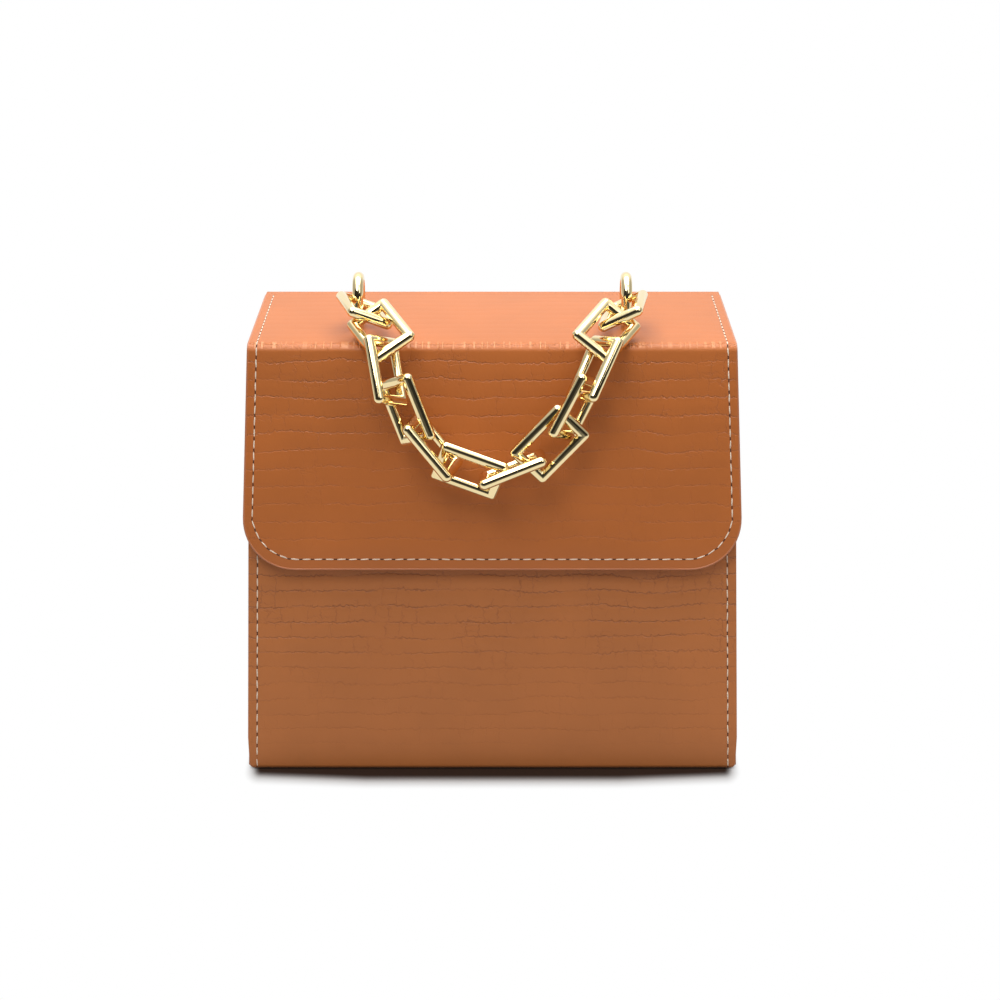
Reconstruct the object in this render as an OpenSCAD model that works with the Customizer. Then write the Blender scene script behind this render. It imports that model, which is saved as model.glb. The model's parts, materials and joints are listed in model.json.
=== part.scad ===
// Boxy flap handbag: a stiff tapered body, a lid that folds over the front,
// and a short carry chain of rectangular links hung on two upright eyes.
// The base stands on z = 0, the front looks along -y and x runs to the right.

/* [Body] */
// Width of the body at the base
base_w = 205; // [150:1:260]
// Width of the body and of the lid at the front crease
top_w = 197; // [140:1:250]
// Depth of the base from front to back
base_d = 101; // [80:1:140]
// Height of the front crease above the table
crease_h = 180; // [150:1:240]
// Height of the back edge of the lid above the front crease
back_rise = 3; // [0:0.5:10]
// How far the front crease lies behind the front edge of the base
crease_setback = 11; // [6:0.5:14]

/* [Layers] */
// Thickness of the embossed leather
leather_t = 1.2; // [0.8:0.1:1.6]
// Thickness of the stiffening board
board_t = 2; // [1.2:0.1:2.6]
// Thickness of the lining
lining_t = 0.8; // [0.4:0.1:1.2]
// Gap between pieces that move against each other
run_gap = 0.5; // [0.3:0.1:0.8]

/* [Lid] */
// Length of the drop that hangs over the front
drop_len = 93; // [60:1:110]
// Width of the drop at its lower edge
drop_w = 205; // [150:1:260]
// Radius of the two lower corners of the drop
drop_corner = 22; // [6:1:30]
// Forward lean of the drop from upright
drop_lean = 5.5; // [4:0.25:6.5]
// How far the boards stay back from the edges of the lid
board_setback = 2; // [1:0.25:5]

/* [Closure] */
// Diameter of the hidden magnet and of its keeper
magnet_d = 14; // [8:1:20]
// Thickness of the magnet and of its keeper
magnet_t = 1.8; // [1:0.1:1.9]
// Height of the magnet above the lower edge of the drop
magnet_up = 16; // [12:1:30]

/* [Chain] */
// Diameter of the wire of the links and of the eyes
wire = 4.5; // [3.5:0.1:4.8]
// Outer length of a link
link_len = 28.7; // [27:0.1:36]
// Outer width of a link
link_w = 19.8; // [19:0.1:22]
// How far the third link's upper end lies in front of the crease
hang_forward = 8.25; // [8:0.25:11]
// How far the third link's upper end lies above the crease
hang_up = 3; // [3:0.25:7]

/* [Eyes] */
// Radius of the arch of an eye at the middle of its rod
eye_arch = 7.5; // [7:0.1:10]
// Diameter of the threaded shanks under an eye
shank_d = 3; // [2:0.1:3.4]
// Clearance round a shank or a magnet in its hole, on the radius
hole_gap = 0.3; // [0.1:0.05:0.5]
// Thickness of the plate under the lid that spreads the load
plate_t = 1.2; // [0.8:0.1:2]
// Margin of the plate round its two holes
plate_margin = 5; // [4:0.25:8]
// Distance across the flats of a nut
nut_flats = 5.5; // [5:0.1:7]
// Height of a nut
nut_h = 2.4; // [1.6:0.1:4]
// How far a shank ends below its nut
shank_tail = 0.8; // [0.4:0.1:2]

/* [Hidden] */
$fn = 48;
overrun = leather_t;
left = -1;
right = 1;

// Colours as they show
leather_color = [0.76, 0.45, 0.27];
board_color = [0.62, 0.55, 0.46];
lining_color = [0.58, 0.47, 0.36];
gold_color = [0.89, 0.75, 0.42];
steel_color = [0.66, 0.67, 0.68];

// Depths of the layers, counted inward from the outer face
board_in = leather_t;
lining_in = leather_t + board_t;
wall_t = leather_t + board_t + lining_t;

// Side profile of the lid: the crease, the back edge, and the two slopes
crease_y = crease_setback - base_d / 2;
back_y = base_d / 2;
back_h = crease_h + back_rise;
lid_slope = atan(back_rise / (back_y - crease_y));
drop_dir = [-sin(drop_lean), -cos(drop_lean)];
top_dir = [cos(lid_slope), sin(lid_slope)];

// A point of the crease, of the back edge or of the lower edge, at a depth of layer
function crease_at(t) = [
    crease_y + t * (cos(lid_slope) - sin(drop_lean)) / cos(lid_slope + drop_lean),
    crease_h + t * (sin(lid_slope) - cos(drop_lean)) / cos(lid_slope + drop_lean)];
function back_at(t) = [back_y, back_h - t / cos(lid_slope)];
function lower_at(t) = [crease_y, crease_h] + drop_len * drop_dir
    + t * [cos(drop_lean), -sin(drop_lean)];

// The body's walls end under the lid, and its front leans back behind the drop
rim_front = crease_at(wall_t)[1] - run_gap;
rim_back = back_at(wall_t)[1] - run_gap;
front_top_y = crease_at(wall_t)[0] + run_gap;
front_lean = atan((front_top_y + base_d / 2) / rim_front);
function front_y(z, t) = z * tan(front_lean) + t / cos(front_lean) - base_d / 2;

// The body's sides lean in evenly from the base to the crease
side_lean = atan((base_w - top_w) / 2 / crease_h);
function side_x(z, t) = base_w / 2 - z * tan(side_lean) - t / cos(side_lean);

// Solid between the two gussets' faces, at a depth of layer
module between_sides(t) {
    translate([0, base_d / 2 + overrun, 0])
        rotate([90, 0, 0])
            linear_extrude(base_d + 2 * overrun)
                polygon([[-side_x(0, t), 0], [side_x(0, t), 0],
                         [side_x(back_h, t), back_h], [-side_x(back_h, t), back_h]]);
}

// A profile of points [y, z], drawn right across the body
widest = max(base_w, top_w, drop_w) + 2 * overrun;
module across(points, width = widest) {
    translate([-width / 2, 0, 0])
        rotate([90, 0, 90])
            linear_extrude(width) polygon(points);
}

module front_layer(t0, t1, side_in, floor_in) {
    intersection() {
        between_sides(side_in);
        across([[front_y(floor_in, t0), floor_in], [front_y(floor_in, t1), floor_in],
                [front_y(rim_front, t1), rim_front], [front_y(rim_front, t0), rim_front]]);
    }
}

module back_layer(t0, t1, side_in, floor_in) {
    intersection() {
        between_sides(side_in);
        across([[back_y - t1, floor_in], [back_y - t0, floor_in],
                [back_y - t0, rim_back], [back_y - t1, rim_back]]);
    }
}

module gusset_layer(side, t0, t1, end_in, floor_in) {
    intersection() {
        mirror([side == left ? 1 : 0, 0, 0])
            translate([0, base_d / 2 + overrun, 0])
                rotate([90, 0, 0])
                    linear_extrude(base_d + 2 * overrun)
                        polygon([[side_x(0, t1), 0], [side_x(0, t0), 0],
                                 [side_x(back_h, t0), back_h], [side_x(back_h, t1), back_h]]);
        across([[front_y(floor_in, end_in), floor_in], [back_y - end_in, floor_in],
                [back_y - end_in, rim_back], [front_y(rim_front, end_in), rim_front]]);
    }
}

module base_layer(z0, z1, inset) {
    intersection() {
        between_sides(inset);
        across([[front_y(z0, inset), z0], [back_y - inset, z0],
                [back_y - inset, z1], [front_y(z1, inset), z1]]);
    }
}

// The hidden closure: a disc in the drop's board faces a disc in the front board
magnet_along = drop_len - magnet_up;
keeper_z = crease_h - magnet_along * cos(drop_lean);

// Local frame of the front board's outer face, at the keeper
module at_keeper() {
    translate([0, front_y(keeper_z, board_in), keeper_z])
        rotate([90 - front_lean, 0, 0]) children();
}

// Local frame of the drop: origin on the crease, x across, y down, z inward
module at_drop() {
    translate([0, crease_y, crease_h]) rotate([-90 - drop_lean, 0, 0]) children();
}

module front_board() {
    color(board_color)
        difference() {
            front_layer(board_in, lining_in, board_in, board_in);
            at_keeper()
                translate([0, 0, -board_t - overrun])
                    cylinder(r = magnet_d / 2 + hole_gap, h = board_t + 2 * overrun);
        }
}

module clasp_keeper() {
    color(steel_color)
        at_keeper() translate([0, 0, -magnet_t]) cylinder(d = magnet_d, h = magnet_t);
}

module clasp_magnet() {
    color(steel_color)
        at_drop()
            translate([0, magnet_along, lining_in - magnet_t])
                cylinder(d = magnet_d, h = magnet_t);
}

// Outline of the drop in its own plane, with rounded lower corners
drop_flare = atan((drop_w - top_w) / 2 / drop_len);
corner_y = drop_len - drop_corner;
corner_x = drop_w / 2 - drop_corner * tan(drop_flare) - drop_corner / cos(drop_flare);
corner_steps = 12;

function corner_arc(r, side, steps) = [for (step = steps)
    let (turn = step * (90 + drop_flare) / corner_steps - drop_flare)
    [side * (corner_x + r * cos(turn)), corner_y + r * sin(turn)]];

module drop_outline(inset) {
    half_top = top_w / 2 - inset / cos(drop_flare);
    r = drop_corner - inset;
    polygon(concat(
        [[-half_top, 0], [-half_top, -wall_t], [half_top, -wall_t], [half_top, 0]],
        corner_arc(r, right, [0:corner_steps]),
        corner_arc(r, left, [corner_steps:-1:0])));
}

// One layer of the drop, mitred at the crease
module drop_layer(t0, t1, inset) {
    intersection() {
        across([crease_at(t0), crease_at(t1), lower_at(t1), lower_at(t0)]);
        at_drop()
            translate([0, 0, t0 - overrun])
                linear_extrude(t1 - t0 + 2 * overrun) drop_outline(inset);
    }
}

// One layer of the lid's top, mitred at the crease
module top_layer(t0, t1, inset) {
    across([crease_at(t0), crease_at(t1), back_at(t1) - inset * top_dir,
            back_at(t0) - inset * top_dir], top_w - 2 * inset);
}

// One layer that runs over the top and down the drop without a joint
module folded_layer(t0, t1) {
    intersection() {
        across([back_at(t0), crease_at(t0), lower_at(t0), lower_at(t1), crease_at(t1), back_at(t1)]);
        union() {
            translate([-top_w / 2, crease_y - wall_t, crease_h - wall_t])
                cube([top_w, base_d + wall_t, back_rise + wall_t + overrun]);
            at_drop()
                translate([0, 0, t0 - overrun])
                    linear_extrude(t1 - t0 + 2 * overrun) drop_outline(0);
        }
    }
}

// The chain. Each link's turn is told by three angles, from the eye to the middle:
// its heading toward the middle, its dip below level, and its roll, outer side up.
left_heading = [14, 27, 10, 21, 39, 70];
right_heading = [8, 29, 24, 27, 44, 68];
dip = [3, 24, 63, 90 - drop_lean, 90 - drop_lean, 90 - drop_lean];
left_roll = [23, -23, 54, -43, 70, -30];
right_roll = [27, -27, 54, -57, -9, 89];
// Slack between a link's wire and the next one's, as shares of the wire
left_slack_shares = [0.14, -0.13, 0.67, 0.44, 0, -0.03];
right_slack_shares = [0.15, -0.11, 0.47, 0.21, -0.13, 0.37];
// How far the next link has slid outward, as shares of the link's inner width
left_slide_shares = [-0.02, 0.31, -0.26, -0.09, 0.15];
right_slide_shares = [-0.05, 0.35, 0.05, 0.08, 0.18];
last = len(dip) - 1;
third = 2;

long_side = link_len - wire;
short_side = link_w - wire;
inner_w = link_w - 2 * wire;
function heading(side, i) = side == left ? left_heading[i] : right_heading[i];
function roll(side, i) = side == left ? left_roll[i] : right_roll[i];
function slide(side, i) =
    inner_w * (side == left ? left_slide_shares[i] : right_slide_shares[i]);
function gap_after(side, i) =
    wire * (1 + (side == left ? left_slack_shares[i] : right_slack_shares[i]));
function forward(i) = [0, -cos(dip[i]), -sin(dip[i])];
function outward(i) = [0, -sin(dip[i]), cos(dip[i])];
function along(side, i) =
    [-side * sin(heading(side, i)), 0, 0] + cos(heading(side, i)) * forward(i);
function level(side, i) =
    [side * cos(heading(side, i)), 0, 0] + sin(heading(side, i)) * forward(i);
function beside(side, i) =
    cos(roll(side, i)) * level(side, i) + sin(roll(side, i)) * outward(i);

// Upper end of link i, first counted from the eye, then set against crease and middle
function end_from_eye(side, i) = i == 0 ? [0, 0, 0] : end_from_eye(side, i - 1)
    + (long_side - gap_after(side, i - 1)) * along(side, i - 1) + [side * slide(side, i - 1), 0, 0];
function tail_from_eye(side) = end_from_eye(side, last) + long_side * along(side, last);
function chain_shift(side) = [
    -side * gap_after(side, last) / 2 - tail_from_eye(side)[0],
    crease_y - hang_forward - end_from_eye(side, third)[1],
    crease_h + hang_up - end_from_eye(side, third)[2]];
function upper_end(side, i) = end_from_eye(side, i) + chain_shift(side);

// A link in its own frame: x along it from the middle of its upper bar, y across
module link_ring() {
    half = short_side / 2;
    for (s = [-1, 1]) {
        translate([0, s * half, 0])
            rotate([0, 90, 0]) cylinder(d = wire, h = long_side);
        translate([s < 0 ? 0 : long_side, -half, 0])
            rotate([-90, 0, 0]) cylinder(d = wire, h = short_side);
        for (x = [0, long_side])
            translate([x, s * half, 0]) sphere(d = wire);
    }
}

module chain_link(side, i) {
    place = upper_end(side, i);
    u = along(side, i);
    v = beside(side, i);
    n = cross(u, v);
    color(gold_color)
        multmatrix([[u[0], v[0], n[0], place[0]], [u[1], v[1], n[1], place[1]],
                    [u[2], v[2], n[2], place[2]], [0, 0, 0, 1]])
            link_ring();
}

// The eyes stand evenly on the lid, round the ends of the chain. An end's bar lies
// ahead of the arch's middle and below it, by shares of the arch's radius.
bar_ahead_share = 0.32;
bar_below_share = 0.35;
chain_ends = upper_end(right, 0) - upper_end(left, 0);
ends_middle = (upper_end(right, 0) + upper_end(left, 0)) / 2;
eye_y = ends_middle[1] + bar_ahead_share * eye_arch;
eye_z = crease_h + (eye_y - crease_y) * tan(lid_slope);
eye_leg = ends_middle[2] - eye_z + bar_below_share * eye_arch;
function eye_foot(side) = [side * chain_ends[0] / 2, eye_y, eye_z];
under_lid = wall_t + plate_t;

// Local frame of an eye: origin on the lid's top face, z square to it
module at_eye(side) {
    translate(eye_foot(side)) rotate([lid_slope, 0, 0]) children();
}

module eye_holes() {
    for (side = [left, right])
        at_eye(side)
            for (s = [-1, 1])
                translate([0, s * eye_arch, -under_lid - overrun])
                    cylinder(r = shank_d / 2 + hole_gap, h = under_lid + 2 * overrun);
}

module eye(side) {
    shank = under_lid + nut_h + shank_tail;
    color(gold_color)
        at_eye(side) {
            for (s = [-1, 1])
                translate([0, s * eye_arch, 0]) {
                    cylinder(d = wire, h = eye_leg);
                    translate([0, 0, -shank]) cylinder(d = shank_d, h = shank + wire);
                }
            translate([0, 0, eye_leg])
                rotate([90, 0, 90])
                    rotate_extrude(angle = 180) translate([eye_arch, 0]) circle(d = wire);
        }
}

module eye_plate(side) {
    color(steel_color)
        difference() {
            at_eye(side)
                translate([-plate_margin, -eye_arch - plate_margin, -under_lid])
                    cube([2 * plate_margin, 2 * (eye_arch + plate_margin), plate_t]);
            eye_holes();
        }
}

module eye_nuts() {
    color(steel_color)
        for (side = [left, right], s = [-1, 1])
            at_eye(side)
                translate([0, s * eye_arch, -under_lid - nut_h])
                    difference() {
                        cylinder(d = nut_flats / cos(30), h = nut_h, $fn = 6);
                        translate([0, 0, -overrun])
                            cylinder(r = shank_d / 2 + hole_gap, h = nut_h + 2 * overrun);
                    }
}

module lid_cover() {
    color(leather_color)
        difference() {
            folded_layer(0, board_in);
            eye_holes();
        }
}

module lid_top_board() {
    color(board_color)
        difference() {
            top_layer(board_in, lining_in, board_setback);
            eye_holes();
        }
}

module lid_drop_board() {
    color(board_color)
        difference() {
            drop_layer(board_in, lining_in, board_setback);
            at_drop()
                translate([0, magnet_along, 0])
                    cylinder(r = magnet_d / 2 + hole_gap, h = wall_t + overrun);
        }
}

module lid_lining() {
    color(lining_color)
        difference() {
            folded_layer(lining_in, wall_t);
            eye_holes();
        }
}

color(leather_color) front_layer(0, board_in, 0, 0);  // front_panel
front_board();
color(lining_color) front_layer(lining_in, wall_t, lining_in, lining_in);  // front_lining
color(leather_color) back_layer(0, board_in, 0, 0);  // back_panel
color(board_color) back_layer(board_in, lining_in, board_in, board_in);  // back_board
color(lining_color) back_layer(lining_in, wall_t, lining_in, lining_in);  // back_lining
color(leather_color) base_layer(0, board_in, board_in);  // base_panel
color(board_color) base_layer(board_in, lining_in, lining_in);  // base_board
color(lining_color) base_layer(lining_in, wall_t, wall_t);  // base_lining
color(leather_color) gusset_layer(left, 0, board_in, board_in, 0);  // left_gusset
color(board_color) gusset_layer(left, board_in, lining_in, lining_in, board_in);  // left_gusset_board
color(lining_color) gusset_layer(left, lining_in, wall_t, wall_t, lining_in);  // left_gusset_lining
color(leather_color) gusset_layer(right, 0, board_in, board_in, 0);  // right_gusset
color(board_color) gusset_layer(right, board_in, lining_in, lining_in, board_in);  // right_gusset_board
color(lining_color) gusset_layer(right, lining_in, wall_t, wall_t, lining_in);  // right_gusset_lining
clasp_keeper();
lid_cover();
lid_top_board();
lid_drop_board();
lid_lining();
clasp_magnet();
eye(left);  // left_eye
eye(right);  // right_eye
eye_plate(left);  // left_eye_plate
eye_plate(right);  // right_eye_plate
eye_nuts();
chain_link(left, 0);  // left_link_1
chain_link(left, 1);  // left_link_2
chain_link(left, 2);  // left_link_3
chain_link(left, 3);  // left_link_4
chain_link(left, 4);  // left_link_5
chain_link(left, 5);  // left_link_6
chain_link(right, 0);  // right_link_1
chain_link(right, 1);  // right_link_2
chain_link(right, 2);  // right_link_3
chain_link(right, 3);  // right_link_4
chain_link(right, 4);  // right_link_5
chain_link(right, 5);  // right_link_6
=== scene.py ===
import json
import random
from math import acos, atan, ceil, cos, hypot, pi, radians, sin, tan

import bmesh
import bpy
from mathutils import Matrix, Vector, noise


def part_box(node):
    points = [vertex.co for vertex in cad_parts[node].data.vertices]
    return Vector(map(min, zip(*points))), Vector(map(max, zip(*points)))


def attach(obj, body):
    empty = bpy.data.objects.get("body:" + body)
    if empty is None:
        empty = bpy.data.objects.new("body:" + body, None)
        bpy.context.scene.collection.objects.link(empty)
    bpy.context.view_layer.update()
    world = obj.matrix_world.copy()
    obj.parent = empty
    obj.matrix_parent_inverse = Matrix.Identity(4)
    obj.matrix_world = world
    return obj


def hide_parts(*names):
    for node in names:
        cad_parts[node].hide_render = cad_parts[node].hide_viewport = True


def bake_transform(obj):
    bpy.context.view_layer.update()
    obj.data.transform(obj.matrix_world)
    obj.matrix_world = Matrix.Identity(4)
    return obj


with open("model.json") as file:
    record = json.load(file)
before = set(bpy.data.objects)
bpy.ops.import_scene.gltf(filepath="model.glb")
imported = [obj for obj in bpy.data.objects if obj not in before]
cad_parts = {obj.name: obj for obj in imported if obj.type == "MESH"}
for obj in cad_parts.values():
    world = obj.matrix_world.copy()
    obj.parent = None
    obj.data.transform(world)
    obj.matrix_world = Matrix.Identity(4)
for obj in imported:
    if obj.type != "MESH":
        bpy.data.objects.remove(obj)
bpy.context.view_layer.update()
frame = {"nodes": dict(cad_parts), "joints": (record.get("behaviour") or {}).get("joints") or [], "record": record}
print("frame loaded:", len(frame["nodes"]), "nodes")

# The bag's own sizes, in metres. Outer faces come from the frame's boxes.
frontLow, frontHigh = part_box("front_panel")
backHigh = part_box("back_panel")[1]
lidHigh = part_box("lid_cover")[1]
bag = {
    "leather": 0.0012,
    "wall": 0.004,
    "lining": 0.0008,
    "creaseY": -0.0395,
    "creaseZ": 0.180,
    "creaseHalf": 0.0985,    # half width at the front crease
    "dropLean": radians(5.5),
    "dropLength": 0.093,
    "dropHalf": 0.1025,      # half width at the drop's lower edge
    "dropCorner": 0.022,
    "frontLean": radians(4.929),
    "baseBend": 0.0018,      # radius of the leather round the base's long edges
    "backBend": 0.0026,      # radius at the back fold
    "creaseBend": 0.0036,    # radius at the front crease
    "foldBelow": 0.006,      # the bending strip reaches this far past the back fold, down the back
    "foldAbove": 0.005,      # and this far forward over the top
}
baseHalf = frontHigh.x
frontY = frontLow.y
backY = backHigh.y
backZ = lidHigh.z
rimFront = frontHigh.z
rimBack = backHigh.z
sideLean = atan((baseHalf - bag["creaseHalf"]) / bag["creaseZ"])


# The bag's side profile: one line that runs down the front, along the base, up the back,
# over the top and down the drop, with a bend at each corner. Depth is counted inward.

def makeProfile(corners, bends):
    points = [Vector(c) for c in corners]
    parts = []
    here = points[0]
    length = 0.0
    for place, bend in zip(range(1, len(points) - 1), bends):
        into = (points[place] - points[place - 1]).normalized()
        out = (points[place + 1] - points[place]).normalized()
        turn = acos(max(-1.0, min(1.0, into.dot(out))))
        stop = points[place] - into * bend * tan(turn / 2)
        straight = (stop - here).length
        parts.append(("line", here, into, straight, length))
        length += straight
        parts.append(("bend", stop, into, bend * turn, length, bend))
        length += bend * turn
        here = points[place] + out * bend * tan(turn / 2)
    last = points[-1] - here
    parts.append(("line", here, last.normalized(), last.length, length))
    return parts, length + last.length


def onProfile(parts, s, depth=0.0):
    part = parts[0]
    for candidate in parts:
        if s >= candidate[4]:
            part = candidate
    start, ahead, along = part[1], part[2], s - part[4]
    inward = Vector((-ahead.y, ahead.x))
    if part[0] == "line":
        return start + ahead * along + inward * depth
    bend = part[5]
    turned = along / bend
    inNow = inward * cos(turned) - ahead * sin(turned)
    return start + inward * bend + inNow * (depth - bend)


def bendRanges(parts):
    return [(part[4], part[4] + part[3]) for part in parts if part[0] == "bend"]


dropFoot = (bag["creaseY"] - bag["dropLength"] * sin(bag["dropLean"]),
            bag["creaseZ"] - bag["dropLength"] * cos(bag["dropLean"]))
frontTop = (frontY + rimFront * tan(bag["frontLean"]), rimFront)
skinProfile, skinLength = makeProfile(
    [frontTop, (frontY, 0.0), (backY, 0.0), (backY, backZ),
     (bag["creaseY"], bag["creaseZ"]), dropFoot],
    [bag["baseBend"], bag["baseBend"], bag["backBend"], bag["creaseBend"]])
frontBend, rearBend, foldBend, creaseBend = bendRanges(skinProfile)
foldStart = foldBend[0] - bag["foldBelow"]
foldEnd = foldBend[1] + bag["foldAbove"]
dropStart = skinLength - bag["dropLength"]


def bodyHalf(z):
    return baseHalf - z * tan(sideLean)


def dropHalfAt(s):
    # half width of the lid, straight over the top and flared down the drop
    down = s - dropStart
    flare = (bag["dropHalf"] - bag["creaseHalf"]) / bag["dropLength"]
    return bag["creaseHalf"] + max(0.0, down) * flare


def linear(r, g, b):
    # an sRGB colour of 0 to 255, as a shader wants it
    def channel(c):
        c = c / 255
        return c / 12.92 if c <= 0.04045 else ((c + 0.055) / 1.055) ** 2.4
    return channel(r), channel(g), channel(b), 1.0


# Materials

def newMaterial(name):
    material = bpy.data.materials.new(name)
    material.use_nodes = True
    tree = material.node_tree
    tree.nodes.clear()
    return material, tree


def addNode(tree, kind, inputs=None, **settings):
    node = tree.nodes.new(kind)
    for key, value in settings.items():
        setattr(node, key, value)
    for key, value in (inputs or {}).items():
        if isinstance(value, bpy.types.NodeSocket):
            tree.links.new(value, node.inputs[key])
        else:
            node.inputs[key].default_value = value
    return node


def calc(tree, operation, *values):
    return addNode(tree, "ShaderNodeMath", dict(enumerate(values)), operation=operation).outputs[0]


def times(tree, first, second):
    return calc(tree, "MULTIPLY", first, second)


def plus(tree, first, second):
    return calc(tree, "ADD", first, second)


def minus(tree, first, second):
    return calc(tree, "SUBTRACT", first, second)


def fade(tree, value, low, high, start=0.0, end=1.0):
    node = addNode(tree, "ShaderNodeMapRange", {0: value, 1: low, 2: high, 3: start, 4: end},
                   interpolation_type="SMOOTHSTEP")
    return node.outputs[0]


def blendColor(tree, amount, first, second):
    return addNode(tree, "ShaderNodeMix", {0: amount, 6: first, 7: second}, data_type="RGBA").outputs[2]


def blendValue(tree, amount, first, second):
    return addNode(tree, "ShaderNodeMix", {0: amount, 2: first, 3: second}, data_type="FLOAT").outputs[0]


def objectPlace(tree):
    return addNode(tree, "ShaderNodeTexCoord").outputs["Object"]


def showShader(tree, shader, kind="ShaderNodeOutputMaterial"):
    output = tree.nodes.new(kind)
    tree.links.new(shader.outputs[0], output.inputs[0])


def finish(tree, color, roughness, normal=None, **constants):
    inputs = {"Base Color": color, "Roughness": roughness}
    inputs.update({key.replace("_", " "): value for key, value in constants.items()})
    if normal is not None:
        inputs["Normal"] = normal
    showShader(tree, addNode(tree, "ShaderNodeBsdfPrincipled", inputs))


def softNoise(tree, where, size, detail=2.0, roughness=0.5):
    node = addNode(tree, "ShaderNodeTexNoise",
                   {"Vector": where, "Scale": 1 / size, "Detail": detail, "Roughness": roughness})
    return node.outputs[0]


def raised(tree, height, depth, strength=1.0):
    return addNode(tree, "ShaderNodeBump",
                   {"Height": height, "Distance": depth, "Strength": strength}).outputs[0]


leatherLook = {
    "color": (185, 103, 43),
    # painted shade: the colour the creases darken toward
    "creaseShadeColor": (120, 66, 36),
    # painted highlight: the paler colour of the dashes over the bend
    "dashGlintColor": (244, 178, 128),
    "rowHeight": 7.3,        # millimetres between the long creases
    "scaleWidth": 5.6,       # millimetres between the short ones
    "creaseWidth": 0.45,
    "depth": 0.00021,        # metres
    "roughness": 0.42,
    "creaseShade": 0.3,              # how much painted shade darkens the creases
    "deepest": (-3.0, 1.0),  # where the creases start, in millimetres down from the front crease
    "behind": 0.25,          # how deep they are before that
    "fading": (18.0, 62.0),
    "faint": 0.45,
    "plain": (80.0, 88.0),   # where they end
    "bendDashes": 1.0,
}
bodyLook = dict(leatherLook, color=(183, 109, 55), rowHeight=6.62, creaseShade=0.5, behind=0.8,
                fading=(102.0, 150.0), faint=0.3, plain=(158.0, 170.0), bendDashes=0.0)


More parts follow.
